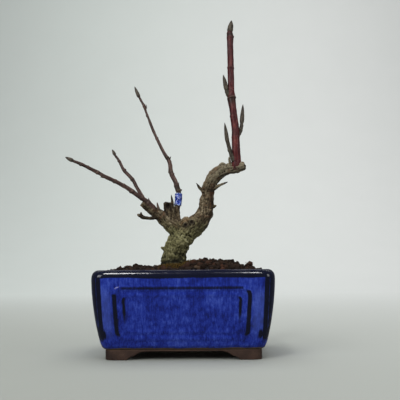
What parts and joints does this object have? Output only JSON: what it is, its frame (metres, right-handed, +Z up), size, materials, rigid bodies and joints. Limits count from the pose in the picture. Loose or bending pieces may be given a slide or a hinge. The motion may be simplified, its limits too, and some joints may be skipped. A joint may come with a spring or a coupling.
{
  "type": "bonsai tree in a pot",
  "caption": "Bare winter bonsai with a curved old trunk, long young shoots and pointed buds, rooted in granular soil in a blue glazed rectangular pot on cloud feet.",
  "frame": {"origin": "on the plane the feet stand on, under the middle of the whole object's bounding box", "axes": "+Z up the tree; +X along the pot's long side, to the right as seen from its front; +Y from the front face to the back face"},
  "size_m": [0.1686, 0.1058, 0.2858],
  "materials": {
    "blue_glaze": "gloss",
    "bare_clay": "matte",
    "black_netting": "satin",
    "training_wire": "satin",
    "gravel": "matte",
    "soil_granules": "matte",
    "dry_moss": "matte",
    "old_bark": "matte",
    "twig_bark": "satin",
    "red_bark": "satin",
    "bud_scale": "satin",
    "blue_film": "gloss"
  },
  "bodies": {
    "root": {"pot": "blue_glaze", "drain_screen_left": "black_netting", "drain_screen_right": "black_netting", "screen_clip_left": "training_wire", "screen_clip_right": "training_wire", "tie_down_wire": "training_wire", "drainage_gravel": "gravel", "soil": "soil_granules", "moss_pad": "dry_moss", "trunk": "old_bark", "middle_shoot": "twig_bark", "left_long_shoot": "twig_bark", "left_short_shoot": "twig_bark", "leader_shoot": "red_bark", "leader_upper_spur": "bud_scale", "leader_right_spur": "bud_scale", "leader_left_spur": "bud_scale", "leader_terminal_bud": "bud_scale", "middle_terminal_bud": "bud_scale", "left_long_terminal_bud": "bud_scale", "left_short_terminal_bud": "bud_scale", "marker_tape": "blue_film"}
  },
  "joints": []
}
